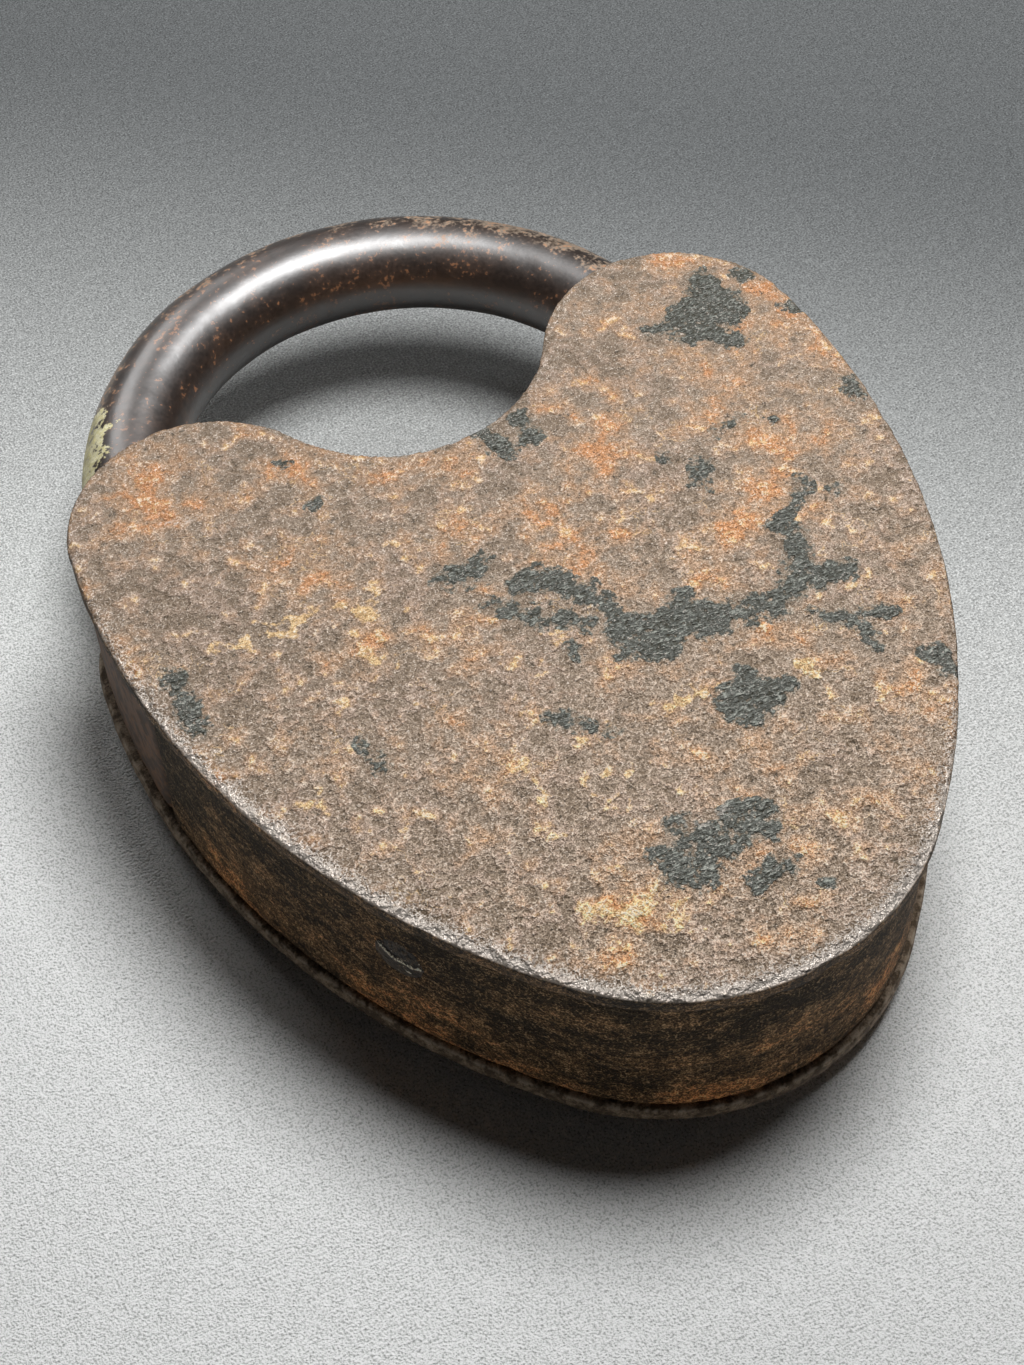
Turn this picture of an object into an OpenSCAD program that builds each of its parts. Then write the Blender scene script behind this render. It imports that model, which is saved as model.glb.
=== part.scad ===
// Heart-shaped riveted iron padlock, lying on its keyhole side with the plain back plate up.
// Millimetres, +Z up, +Y towards the shackle's bow, +X towards the shackle's toe.
// The origin is under the middle of the lock, at the height of the rivet heads it rests on.
// At rest the shackle is shut, the bolt is drawn back and the keyhole cover hangs over the keyhole.

/* [Case outline] */
// Distance between the centres of the two lobes
lobe_gap = 58.4; // [48:0.1:71]
// Height of the lobes' centres above the case's middle line
lobe_up = 30.6; // [25:0.1:37]
// Radius of each lobe
lobe_r = 15.5; // [14:0.1:17]
// How far the saddle between the lobes dips below the lobes' centres
saddle_drop = 1.4; // [0.5:0.1:3]
// Depth of the rounded bottom's centre below the middle line
foot_down = 18.5; // [15:0.1:23]
// Radius of the rounded bottom
foot_r = 28.8; // [26:0.1:32]
// Radius of the two long side curves
side_r = 86; // [78:1:100]

/* [Case walls] */
// Thickness of the whole case, over both plates
case_t = 25.4; // [21:0.1:30.5]
// Thickness of each plate
plate_t = 2.4; // [1.6:0.1:3]
// Thickness of the rim band
band_t = 2; // [1.4:0.1:2.4]
// How far the rim band is set in from the plates' edges
band_inset = 0.8; // [0.3:0.1:1.2]

/* [Shackle] */
// Diameter of the shackle's round bar
bar_d = 11.5; // [9.6:0.1:13.8]
// How far the heel leg stands outside its lobe's centre
leg_out = 4.8; // [3:0.1:6]
// How far the toe leg stands outside its lobe's centre
toe_out = 2.8; // [1.5:0.1:4]
// Height of the bow's centre above the lobes' centres
bow_up = 8.7; // [6:0.1:12]
// How far the toe's end reaches below the lobes' centres
toe_reach = 12.6; // [10:0.1:14]
// Length of the taper at the toe's end
toe_taper = 3.5; // [2:0.1:4]
// Radius of the toe's flat end
toe_end_r = 3.5; // [2:0.1:4]
// Depth of the toe's bolt notch
notch_depth = 5; // [4:0.1:6]
// Height of the toe's bolt notch
notch_h = 5.7; // [5.2:0.1:7]
// Radius of the flat round boss at the shackle's heel
boss_r = 12.6; // [11:0.1:13.2]
// Reach of the heel's tail from the pivot
tail_r = 26; // [22:0.1:27]
// Width of the heel's tail
tail_w = 6; // [4:0.1:7]
// How far the heel lies inside the plates' edges
heel_inset = 1; // [0.8:0.1:1.5]

/* [Heel rivet] */
// How far the pivot stands outside its lobe's centre
pivot_out = 1.9; // [0.5:0.1:3]
// Height of the pivot above the lobes' centres
pivot_up = 5.1; // [3:0.1:6]
// Diameter of the heel rivet's shank
pivot_d = 6; // [5:0.1:7.2]
// Diameter of the heel rivet's head
pivot_head_d = 9.6; // [8:0.1:12]

/* [Case posts] */
// Diameter of each post between the plates
post_d = 5; // [4.4:0.1:6]
// Diameter of each post's end through a plate
tenon_d = 3.8; // [3:0.1:4.2]
// Diameter of each post's domed head
post_head_d = 6.6; // [5.6:0.1:7.6]
// Height of the middle posts above the middle line
post_up = 3; // [1:0.1:6]
// Diameter of the post that the toe rests on
stop_d = 6; // [5:0.1:7]

/* [Lock works] */
// Depth of the key pin below the middle line
key_down = 25.2; // [24:0.1:27]
// Diameter of the key pin
key_pin_d = 4.8; // [4:0.1:5.4]
// Diameter of the key pin's end through the back plate
key_tenon_d = 4.2; // [3:0.1:4.4]
// Diameter of the keyhole's round part
keyhole_d = 9.2; // [8.4:0.1:10]
// Reach of the key's bit from the pin
bit_reach = 10; // [9:0.1:10.5]
// Width of the keyhole's slot
slot_w = 4.4; // [4.2:0.1:5]
// Inner radius of the ring wards
ward_r = 5.8; // [5.4:0.1:6]
// Thickness of the ring wards
ward_t = 1.1; // [0.8:0.1:1.3]
// Height of the ring wards
ward_h = 5; // [3:0.1:6]
// Travel of the bolt
bolt_throw = 4.5; // [3.8:0.1:4.8]
// Thickness of the bolt's plate
bolt_t = 3.2; // [2.6:0.1:3.8]
// Height of the bolt's nose, along the shackle
nose_h = 4.7; // [4:0.1:5]
// Depth of the bolt's nose, across the case
nose_deep = 13; // [10:0.1:14]
// Width of the bolt's upright arm
arm_w = 5.5; // [4.5:0.1:6]
// Half length of the bolt's lower bar
bar_half = 14; // [13:0.1:14.5]
// Height of the bolt's lower bar
bar_h = 8; // [7:0.1:9]
// Thickness of the leaf spring
leaf_t = 0.8; // [0.6:0.1:1]
// Width of the leaf spring
leaf_w = 10; // [8:0.1:11]

/* [Keyhole cover] */
// Thickness of the swinging cover
cover_t = 1.25; // [1:0.05:1.6]
// Radius of the cover's wide end
cover_r = 8.6; // [8:0.1:9]
// Radius of the cover's narrow end
cover_eye_r = 4.6; // [4:0.1:5.4]
// Distance between the cover's two ends
cover_len = 14.2; // [13:0.1:14.5]
// Height of the cover's rivet above the key pin
cover_up = 11.7; // [11:0.1:12.5]
// Diameter of the cover's rivet
cover_rivet_d = 3.4; // [2.8:0.1:4]

/* [Fits] */
// Radial play of a hinge on its rivet
hinge_play = 0.06; // [0.02:0.01:0.1]
// Radial play of a fixed rivet in its plate
rivet_play = 0.03; // [0.02:0.01:0.1]
// Play each side of the heel between the plates
heel_play = 0.3; // [0.2:0.05:0.5]
// Play between sliding flat faces
slide_play = 0.2; // [0.1:0.05:0.3]
// Gap between the toe and the edge of its hole
toe_play = 1; // [0.8:0.1:1.4]
// How far the toe's hole is worn longer on the side that the toe swings out past
toe_wear = 1.7; // [1.5:0.1:2.5]
// Gap between the heel's boss and the end of the band beside it
boss_gap = 1; // [0.6:0.1:1.4]
// Gap between each post and the rim band
post_gap = 0.4; // [0.2:0.1:0.8]
// Gap between the toe and the drawn bolt
nose_gap = 1.1; // [0.8:0.1:1.3]
// Gap between the heel's tail and the end of the band
tail_gap = 0.4; // [0.3:0.1:0.6]

/* [Hidden] */
$fn = 64;

rust_plate = [0.40, 0.27, 0.22];
rust_band = [0.24, 0.17, 0.13];
rust_bar = [0.23, 0.15, 0.12];
rust_head = [0.33, 0.22, 0.17];
dark_iron = [0.30, 0.27, 0.25];
spring_steel = [0.22, 0.22, 0.24];

over = 1;                       // how far a cutter runs past the face it cuts
flare = 0.45;                   // how much a hammered rivet end spreads in its countersink
flare_h = 1;                    // depth of that countersink
head_h = 2.6;                   // height of the domed heads that the lock rests on
lobe_x = lobe_gap / 2;
lobe_c = [lobe_x, lobe_up];
foot_c = [0, -foot_down];
inner = band_inset + band_t;    // depth of the case's inner wall from the plates' edges

// The circle that a lobe and the bottom both touch from inside, for the right-hand side curve
function meet(p, rp, q, rq) =
    let (d = q - p, len = norm(d), a = (rp * rp - rq * rq + len * len) / (2 * len),
         h = sqrt(rp * rp - a * a), u = d / len)
    p + a * u + h * [-u.y, u.x];
side_c = meet(foot_c, side_r - foot_r, lobe_c, side_r - lobe_r);

// The hollow curve through the saddle's lowest point that touches both lobes
saddle_r = (lobe_x * lobe_x + saddle_drop * saddle_drop - lobe_r * lobe_r)
           / (2 * (lobe_r + saddle_drop));
saddle_c = [0, lobe_up - saddle_drop + saddle_r];

function heading(from, to) = atan2(to.y - from.y, to.x - from.x);
// Points along an arc, without its first one, so that joined arcs share no point twice
function arc(c, r, a0, a1, n) =
    [for (i = [1:n]) let (a = a0 + (a1 - a0) * i / n) c + r * [cos(a), sin(a)]];
function flip(points) = [for (i = [len(points) - 1:-1:0]) [-points[i].x, points[i].y]];
// Right half of the heart, from the bottom to the saddle, set in by d from the plates' edges
function half_heart(d) = concat(
    arc(foot_c, foot_r - d, -90, heading(side_c, foot_c), 10),
    arc(side_c, side_r - d, heading(side_c, foot_c), heading(side_c, lobe_c), 14),
    arc(lobe_c, lobe_r - d, heading(side_c, lobe_c), heading(lobe_c, saddle_c), 22),
    arc(saddle_c, saddle_r + d, heading(saddle_c, lobe_c), -90, 10));
function heart(d) = let (half = half_heart(d), n = len(half))
    concat([[0, -foot_down - foot_r + d]], half, flip([for (i = [0:n - 2]) half[i]]));
// Point at a given height on the right-hand side curve, set in by d
function on_side(y, d) =
    [side_c.x + sqrt(pow(side_r - d, 2) - pow(y - side_c.y, 2)), y];

mid_z = case_t / 2;
back_in = case_t - plate_t;     // inner face of the back plate
toe_x = lobe_x + toe_out;
leg_x = -lobe_x - leg_out;
bow_r = (toe_x - leg_x) / 2;
bow_c = [(toe_x + leg_x) / 2, lobe_up + bow_up];
bar_r = bar_d / 2;
toe_tip = lobe_up - toe_reach;
pivot = [-lobe_x - pivot_out, lobe_up + pivot_up];
gap_x = pivot.x + boss_r + boss_gap;            // where the band ends beside the heel's boss

// The lock's middle line and its rest height, for the origin under its middle
mid_y = (bow_c.y + bow_r + bar_r - foot_down - foot_r) / 2;

post_in = inner + post_d / 2 + post_gap;
pocket = (lobe_c - saddle_c) / norm(lobe_c - saddle_c);
post_at = [saddle_c + (saddle_r + post_in) * pocket, on_side(post_up, post_in),
           [-on_side(post_up, post_in).x, post_up], [0, -foot_down - foot_r + post_in]];
stop_at = [toe_x, toe_tip - stop_d / 2 - toe_play / 2];
key_at = [0, -key_down];
cover_at = [0, -key_down + cover_up];
cover_washer_r = 3.2;
cover_washer_t = 0.8;
cover_gap = 0.15;               // gap between the cover and the plate, and under its rivet head
lip = 0.8;                      // how far a small hammered head overhangs its shank
lip_h = 1;                      // height of such a head
cover_head_h = head_h - cover_t - 2 * cover_gap;

// The bolt: a plate on the back plate's inner face, with a deep nose level with the toe's notch
notch_up = 0.4;                 // straight part of the toe between its taper and its notch
notch_y = toe_tip + toe_taper + notch_up + notch_h / 2;
nose_tip = toe_x - bar_r - nose_gap;
bolt_top = back_in - slide_play;
arm_x = 8;                      // clears the wall under the saddle
bar_low = -key_down + bit_reach + 1.2;          // the key's bit turns clear under the bar
talon_w = 3;                    // width of each talon, and half the width between them
talon_low = bar_low - 3.3;      // and catches the talons
nose_root = arm_x + arm_w + 2;  // where the nose's deep part begins
stud_at = [-5, bar_low + bar_h / 2];
stud_d = 3;
stud_washer_r = 2.9;
stud_washer_t = 0.8;
strap_y = 11;                   // middle of the strap over the bolt's arm
strap_w = 6;
strap_t = 1.2;
strap_in = [arm_x - 0.8, arm_x + arm_w + bolt_throw + 1.3];     // inner faces of its two legs
strap_foot = 5;
strap_rivet_d = 2.4;
strap_low = bolt_top - bolt_t - slide_play - strap_t;
strap_rivet_at = [[strap_in[0] - strap_t - strap_foot / 2, strap_y],
                  [strap_in[1] + strap_t + strap_foot / 2, strap_y]];

// The leaf spring: a foot on the left wall, a bend, and a leg whose turned-up end rubs the bolt
wall_c = [-side_c.x, side_c.y];                 // centre of the left-hand side curve
leaf_play = 0.05;               // gap between the leaf's foot and the band
leaf_r = side_r - inner - leaf_t / 2 - leaf_play;
function leaf_a(y) = 180 + asin((wall_c.y - y) / leaf_r);
rivet_y = -21.7;                // height of the spring's rivet on the wall
leaf_foot = leaf_a(rivet_y - 8);                // where the leaf's foot starts on the wall
leaf_end = leaf_a(rivet_y + 12.7);              // where it leaves the wall
leaf_bend = 4;
leaf_curl = 3;
rub_x = -8;                     // where the turned-up end rubs the bolt's top edge
rub_gap = 0.1;
bend_c = wall_c + (leaf_r - leaf_bend) * [cos(leaf_end), sin(leaf_end)];
curl_c = [rub_x, bar_low + bar_h + rub_gap + leaf_t / 2 + leaf_curl];
leg_a = 90 + heading(bend_c, curl_c) - asin((leaf_bend + leaf_curl) / norm(curl_c - bend_c));
leaf_path = concat(arc(wall_c, leaf_r, leaf_foot, leaf_end, 8),
                   arc(bend_c, leaf_bend, leaf_end, leg_a, 10),
                   [curl_c - leaf_curl * [cos(leg_a), sin(leg_a)]],
                   arc(curl_c, leaf_curl, leg_a - 180, leg_a - 110, 6));
leaf_low = back_in - 0.6 - leaf_w;
rivet_a = 180 + asin((wall_c.y - rivet_y) / (side_r - inner));
rivet_z = mid_z + 3;
wall_rivet_d = 3.4;
wall_head_d = 6.2;
wall_head_h = 0.7;

// A strip of thickness t that follows a path, as one outline
function side_step(path, i) = let (n = len(path), a = path[max(i - 1, 0)], b = path[min(i + 1, n - 1)],
    u = (b - a) / norm(b - a)) [-u.y, u.x];
function strip(path, t) = concat(
    [for (i = [0:len(path) - 1]) path[i] + t / 2 * side_step(path, i)],
    [for (i = [len(path) - 1:-1:0]) path[i] - t / 2 * side_step(path, i)]);

module place() translate([0, -mid_y, head_h]) children();
module at(p, z = 0) translate([p.x, p.y, z]) children();

// A round dome of radius r and height h that hangs below z = 0
module dome(r, h) {
    ball = (r * r + h * h) / (2 * h);
    intersection() {
        translate([0, 0, ball - h]) sphere(ball);
        translate([-r - over, -r - over, -h - over]) cube([2 * (r + over), 2 * (r + over), h + over]);
    }
}

// A shank from z0 up to the back plate's outer face, hammered flush in its countersink
module flush_end(d, z0) {
    translate([0, 0, z0]) cylinder(d = d, h = case_t - z0);
    translate([0, 0, case_t - flare_h]) cylinder(r1 = d / 2, r2 = d / 2 + flare, h = flare_h);
}

// The countersunk hole in the back plate for such a shank
module flush_hole(d) {
    r = d / 2 + rivet_play;
    translate([0, 0, back_in - over]) cylinder(r = r, h = plate_t + 2 * over);
    translate([0, 0, case_t - flare_h]) cylinder(r1 = r, r2 = r + 2 * flare, h = 2 * flare_h);
}

module front_hole(d) translate([0, 0, -over])
    cylinder(r = d / 2 + rivet_play, h = plate_t + 2 * over);

module back_plate() color(rust_plate) place() difference() {
    translate([0, 0, back_in]) linear_extrude(plate_t) polygon(heart(0));
    at(pivot) flush_hole(pivot_d);
    for (p = post_at) at(p) flush_hole(tenon_d);
    at(stop_at) flush_hole(tenon_d);
    at(key_at) flush_hole(key_tenon_d);
    at(stud_at) flush_hole(stud_d);
    for (p = strap_rivet_at) at(p) flush_hole(strap_rivet_d);
}

module front_plate() color(rust_plate) place() difference() {
    linear_extrude(plate_t) polygon(heart(0));
    at(pivot) front_hole(pivot_d);
    for (p = post_at) at(p) front_hole(tenon_d);
    at(stop_at) front_hole(tenon_d);
    at(cover_at) front_hole(cover_rivet_d);
    at(key_at, -over) cylinder(d = keyhole_d, h = plate_t + 2 * over);
    at(key_at, -over) translate([-slot_w / 2, -bit_reach, 0])
        cube([slot_w, bit_reach, plate_t + 2 * over]);
}

// The bent strip round the case: open at the heel, with a worn oblong hole for the toe
module rim_band() color(rust_band) place() difference() {
    translate([0, 0, plate_t]) linear_extrude(back_in - plate_t) difference() {
        polygon(heart(band_inset));
        polygon(heart(inner));
    }
    intersection() {
        at(pivot, plate_t - over) cylinder(r = tail_r + tail_gap, h = case_t);
        translate([-2 * lobe_gap, -lobe_gap, 0]) cube([2 * lobe_gap + gap_x, 3 * lobe_gap, case_t]);
    }
    toe_hole();
    wall_rivet_place() translate([0, 0, -over])
        cylinder(r = wall_rivet_d / 2 + rivet_play, h = band_t + 2 * over);
}

module toe_hole() {
    r = bar_r + toe_play;
    for (x = [toe_x - toe_wear / 4, toe_x + toe_wear * 3 / 4])
        translate([x, lobe_up + over, mid_z]) rotate([-90, 0, 0]) cylinder(r = r, h = lobe_gap);
    translate([toe_x - toe_wear / 4, lobe_up + over, mid_z - r]) cube([toe_wear, lobe_gap, 2 * r]);
}

// Outline of the shackle's heel: a boss round the pivot, a neck under the leg, and a tail
module heel_outline() intersection() {
    polygon(heart(heel_inset));
    union() {
        translate(pivot) circle(boss_r);
        translate([leg_x - bar_r, pivot.y]) square([bar_d, 2 * lobe_r]);
        intersection() {
            translate(pivot) circle(tail_r);
            translate([-2 * lobe_gap, -lobe_gap]) square([2 * lobe_gap + pivot.x, lobe_gap + pivot.y]);
            difference() {
                polygon(heart(0));
                polygon(heart(heel_inset + tail_w));
            }
        }
    }
}

module shackle() color(rust_bar) place() difference() {
    union() {
        at(bow_c, mid_z) rotate_extrude(angle = 180) translate([bow_r, 0]) circle(bar_r);
        translate([toe_x, bow_c.y, mid_z]) rotate([90, 0, 0]) {
            cylinder(r = bar_r, h = bow_c.y - toe_tip - toe_taper);
            translate([0, 0, bow_c.y - toe_tip - toe_taper])
                cylinder(r1 = bar_r, r2 = toe_end_r, h = toe_taper);
        }
        translate([leg_x, bow_c.y, mid_z]) rotate([90, 0, 0]) cylinder(r = bar_r, h = bow_up);
        translate([0, 0, plate_t + heel_play])
            linear_extrude(case_t - 2 * (plate_t + heel_play)) heel_outline();
    }
    at(pivot, -over) cylinder(r = pivot_d / 2 + hinge_play, h = case_t + 2 * over);
    translate([toe_x - bar_r - over, notch_y - notch_h / 2, 0])
        cube([notch_depth + over, notch_h, case_t]);
}

module heel_rivet() color(rust_head) place() at(pivot) {
    flush_end(pivot_d, 0);
    dome(pivot_head_d / 2, head_h);
}

module case_posts() color(rust_head) place() for (p = post_at) at(p) {
    flush_end(tenon_d, 0);
    translate([0, 0, plate_t]) cylinder(d = post_d, h = back_in - plate_t);
    dome(post_head_d / 2, head_h);
}

// The post under the toe's end, which stops the shackle when it is pushed shut
module toe_stop() color(dark_iron) place() at(stop_at) {
    flush_end(tenon_d, 0);
    translate([0, 0, plate_t]) cylinder(d = stop_d, h = back_in - plate_t);
}

// The pin that a hollow key turns on, standing on the back plate and ending in the keyhole
module key_pin() color(dark_iron) place() at(key_at) {
    translate([0, 0, plate_t / 2]) cylinder(d = key_pin_d, h = back_in - plate_t / 2);
    flush_end(key_tenon_d, back_in - over);
}

module ring_ward() rotate_extrude(angle = 290, start = -55) translate([ward_r, 0])
    square([ward_t, ward_h]);
module back_ward() color(dark_iron) place() at(key_at, back_in - ward_h) ring_ward();
module front_ward() color(dark_iron) place() at(key_at, plate_t) ring_ward();

// The bolt's plate: a lower bar with two talons for the key, and an arm up to the nose
module bolt_outline() difference() {
    union() {
        translate([-bar_half, bar_low]) square([bar_half + arm_x + arm_w, bar_h]);
        translate([arm_x, bar_low]) square([arm_w, notch_y + nose_h / 2 - bar_low]);
        translate([arm_x, notch_y - nose_h / 2]) square([nose_tip - arm_x, nose_h]);
        for (x = [-2 * talon_w, talon_w]) translate([x, talon_low])
            square([talon_w, bar_low - talon_low + over]);
    }
    r = stud_d / 2 + slide_play;
    for (x = [stud_at.x - bolt_throw - slide_play, stud_at.x]) translate([x, stud_at.y]) circle(r);
    translate([stud_at.x - bolt_throw - slide_play, stud_at.y - r])
        square([bolt_throw + slide_play, 2 * r]);
}

module bolt() color(dark_iron) place() {
    translate([0, 0, bolt_top - bolt_t]) linear_extrude(bolt_t) bolt_outline();
    translate([nose_root, notch_y - nose_h / 2, bolt_top - nose_deep])
        cube([nose_tip - nose_root, nose_h, nose_deep]);
}

module bolt_stud() color(dark_iron) place() at(stud_at) {
    low = bolt_top - bolt_t - slide_play - stud_washer_t;
    flush_end(stud_d, low);
    translate([0, 0, low]) dome(stud_d / 2 + lip, lip_h);
}

module stud_washer() color(dark_iron) place()
    at(stud_at, bolt_top - bolt_t - slide_play - stud_washer_t) difference() {
        cylinder(r = stud_washer_r, h = stud_washer_t);
        translate([0, 0, -over]) cylinder(r = stud_d / 2 + rivet_play, h = stud_washer_t + 2 * over);
    }

// The strap that holds the bolt's arm against the back plate, bent up at both ends
module bolt_strap() color(dark_iron) place() translate([0, strap_y - strap_w / 2, 0]) difference() {
    union() {
        translate([strap_in[0] - strap_t, 0, strap_low])
            cube([strap_in[1] - strap_in[0] + 2 * strap_t, strap_w, strap_t]);
        for (x = [strap_in[0] - strap_t, strap_in[1]]) translate([x, 0, strap_low])
            cube([strap_t, strap_w, back_in - strap_low]);
        for (x = [strap_in[0] - strap_t - strap_foot, strap_in[1]])
            translate([x, 0, back_in - strap_t]) cube([strap_foot + strap_t, strap_w, strap_t]);
    }
    for (p = strap_rivet_at) translate([p.x, strap_w / 2, back_in - strap_t - over])
        cylinder(r = strap_rivet_d / 2 + rivet_play, h = strap_t + 2 * over);
}

module strap_rivets() color(dark_iron) place() for (p = strap_rivet_at) at(p) {
    flush_end(strap_rivet_d, back_in - strap_t);
    translate([0, 0, back_in - strap_t]) dome(strap_rivet_d / 2 + lip, lip_h);
}

// Puts a child on the left wall at the spring's rivet, with +Z pointing into the case
module wall_rivet_place()
    translate([wall_c.x + (side_r - band_inset) * cos(rivet_a),
               wall_c.y + (side_r - band_inset) * sin(rivet_a), rivet_z])
        rotate([0, -90, rivet_a]) children();

module bolt_spring() color(spring_steel) place() difference() {
    translate([0, 0, leaf_low]) linear_extrude(leaf_w) polygon(strip(leaf_path, leaf_t));
    wall_rivet_place() cylinder(r = wall_rivet_d / 2 + rivet_play, h = 3 * band_t);
}

module spring_rivet() color(rust_head) place() wall_rivet_place() {
    grip = band_t + leaf_t + 3 * leaf_play;
    cylinder(d = wall_rivet_d, h = grip);
    dome(wall_head_d / 2, wall_head_h);
    translate([0, 0, grip]) rotate([180, 0, 0]) dome(wall_rivet_d / 2 + lip, lip_h);
}

module cover_outline() {
    up = asin((cover_r - cover_eye_r) / cover_len);
    side = [cos(up), sin(up)];
    circle(cover_eye_r);
    translate([0, -cover_len]) circle(cover_r);
    polygon([cover_eye_r * side, [-cover_eye_r * side.x, cover_eye_r * side.y],
             [-cover_r * side.x, cover_r * side.y - cover_len],
             [cover_r * side.x, cover_r * side.y - cover_len]]);
}

module keyhole_cover() color(rust_plate) place() at(cover_at, -cover_gap - cover_t) difference() {
    linear_extrude(cover_t) cover_outline();
    translate([0, 0, -over])
        cylinder(r = cover_rivet_d / 2 + hinge_play, h = cover_t + 2 * over);
}

module cover_rivet() color(rust_head) place() at(cover_at) {
    low = -2 * cover_gap - cover_t;
    high = plate_t + cover_washer_t;
    translate([0, 0, low]) cylinder(d = cover_rivet_d, h = high - low);
    translate([0, 0, low]) dome(cover_rivet_d, cover_head_h);
    translate([0, 0, high]) rotate([180, 0, 0]) dome(cover_rivet_d / 2 + lip, lip_h);
}

module cover_washer() color(dark_iron) place() at(cover_at, plate_t) difference() {
    cylinder(r = cover_washer_r, h = cover_washer_t);
    translate([0, 0, -over])
        cylinder(r = cover_rivet_d / 2 + rivet_play, h = cover_washer_t + 2 * over);
}

back_plate();
front_plate();
rim_band();
shackle();
heel_rivet();
case_posts();
toe_stop();
key_pin();
back_ward();
front_ward();
bolt();
bolt_stud();
stud_washer();
bolt_strap();
strap_rivets();
bolt_spring();
spring_rivet();
keyhole_cover();
cover_rivet();
cover_washer();
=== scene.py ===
"""An old heart-shaped iron padlock, rusted shut and lying on its front plate."""

import itertools
import math

import bmesh
import bpy
import numpy as np
from mathutils import Matrix, Vector
from mathutils.kdtree import KDTree


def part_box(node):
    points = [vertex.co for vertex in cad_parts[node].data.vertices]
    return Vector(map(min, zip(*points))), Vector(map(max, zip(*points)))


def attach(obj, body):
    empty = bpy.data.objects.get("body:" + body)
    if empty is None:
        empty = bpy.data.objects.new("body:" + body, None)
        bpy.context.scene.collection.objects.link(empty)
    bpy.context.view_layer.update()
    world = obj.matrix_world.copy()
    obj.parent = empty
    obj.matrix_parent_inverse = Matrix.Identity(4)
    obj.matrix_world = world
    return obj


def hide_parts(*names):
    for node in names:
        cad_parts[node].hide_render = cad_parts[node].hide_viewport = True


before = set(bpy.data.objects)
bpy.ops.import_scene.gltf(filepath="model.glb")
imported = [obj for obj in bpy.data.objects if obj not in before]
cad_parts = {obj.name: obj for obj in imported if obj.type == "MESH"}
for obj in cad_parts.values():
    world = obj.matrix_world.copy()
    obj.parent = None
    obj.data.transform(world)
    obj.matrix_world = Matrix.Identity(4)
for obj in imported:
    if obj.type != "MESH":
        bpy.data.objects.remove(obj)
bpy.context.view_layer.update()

# ---------------------------------------------------------------- camera
# A long lens, standing off the lock's near left and looking steeply down on its back plate,
# with a slight roll.
EYE = Vector((-0.0748, -0.1541, 0.2309))
AIM = Vector((-0.0096, -0.0192, 0.0280))
ROLL = math.radians(-1.34)

lens = bpy.data.cameras.new("camera")
lens.lens = 64.35
lens.clip_start = 0.01
camera = bpy.data.objects.new("camera", lens)
camera.location = EYE
camera.rotation_mode = "QUATERNION"
turn = (AIM - EYE).to_track_quat("-Z", "Y")
camera.rotation_quaternion = turn @ Matrix.Rotation(ROLL, 3, "Z").to_quaternion()
bpy.context.scene.collection.objects.link(camera)
bpy.context.scene.camera = camera

# ---------------------------------------------------------------- light
# One round softbox hangs overhead, a little beyond the lock, so the near wall stands in shade. A
# weaker one stands far behind and glances off the grain. The room around them is nearly dark.
KEY_AT = (0.130, 0.085, 0.485)
KEY_SIZE = 0.25
KEY_POWER = 2.56
GLANCE_AT = (-0.06, 0.66, 0.44)
GLANCE_SIZE = 0.30
GLANCE_POWER = 1.0
ROOM = 0.012


def softbox(name, at, size, power, towards):
    light = bpy.data.lights.new(name, "AREA")
    light.shape = "DISK"
    light.size = size
    light.energy = power
    hung = bpy.data.objects.new(name, light)
    hung.location = at
    hung.rotation_mode = "QUATERNION"
    hung.rotation_quaternion = (Vector(towards) - Vector(at)).to_track_quat("-Z", "Y")
    bpy.context.scene.collection.objects.link(hung)


softbox("softbox", KEY_AT, KEY_SIZE, KEY_POWER, (KEY_AT[0], KEY_AT[1], 0))
softbox("glancing_softbox", GLANCE_AT, GLANCE_SIZE, GLANCE_POWER, (0, 0, 0))

world = bpy.data.worlds.new("room")
world.use_nodes = True
world.node_tree.nodes["Background"].inputs["Color"].default_value = (1, 1, 1, 1)
world.node_tree.nodes["Background"].inputs["Strength"].default_value = ROOM
bpy.context.scene.world = world
bpy.context.scene.view_settings.view_transform = "Standard"


# ---------------------------------------------------------------- floor
# A sheet of pale grey paper with a fine tooth, with painted shade that darkens it towards the far end of
# the table, where the light falls off.
class Wire:
    """One output in a node tree. Arithmetic on it adds Math nodes."""

    def __init__(self, net, socket):
        self.net, self.socket = net, socket

    def math(self, operation, first, second):
        return self.net.node("ShaderNodeMath", {"operation": operation}, {0: first, 1: second})

    def __add__(self, other):
        return self.math("ADD", self, other)

    def __sub__(self, other):
        return self.math("SUBTRACT", self, other)

    def __rsub__(self, other):
        return self.math("SUBTRACT", other, self)

    def __mul__(self, other):
        return self.math("MULTIPLY", self, other)

    __radd__, __rmul__ = __add__, __mul__


class Net:
    """A node tree that is being built."""

    def __init__(self, tree):
        self.tree = tree

    def node(self, kind, settings=None, sockets=None, out=0):
        made = self.tree.nodes.new(kind)
        for name, value in (settings or {}).items():
            setattr(made, name, value)
        for name, value in (sockets or {}).items():
            if isinstance(value, Wire):
                self.tree.links.new(value.socket, made.inputs[name])
            else:
                made.inputs[name].default_value = value
        return Wire(self, made.outputs[out]) if len(made.outputs) else None


def tint(red, green, blue):
    """A colour written as the eye sees it, from 0 to 255, as the shader's linear colour."""
    return tuple(((c / 255 + 0.055) / 1.055) ** 2.4 if c > 10 else c / 3294
                 for c in (red, green, blue)) + (1.0,)


PLAIN = (1.0, 1.0, 1.0, 1.0)
HOLLOW = (1.0, 0.90, 0.74, 1.0)     # how the deep hollows of rust tint the light
NOISE_SPREAD = (0.126, 0.092, 0.077, 0.069)     # of the noise node, by its detail


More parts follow.
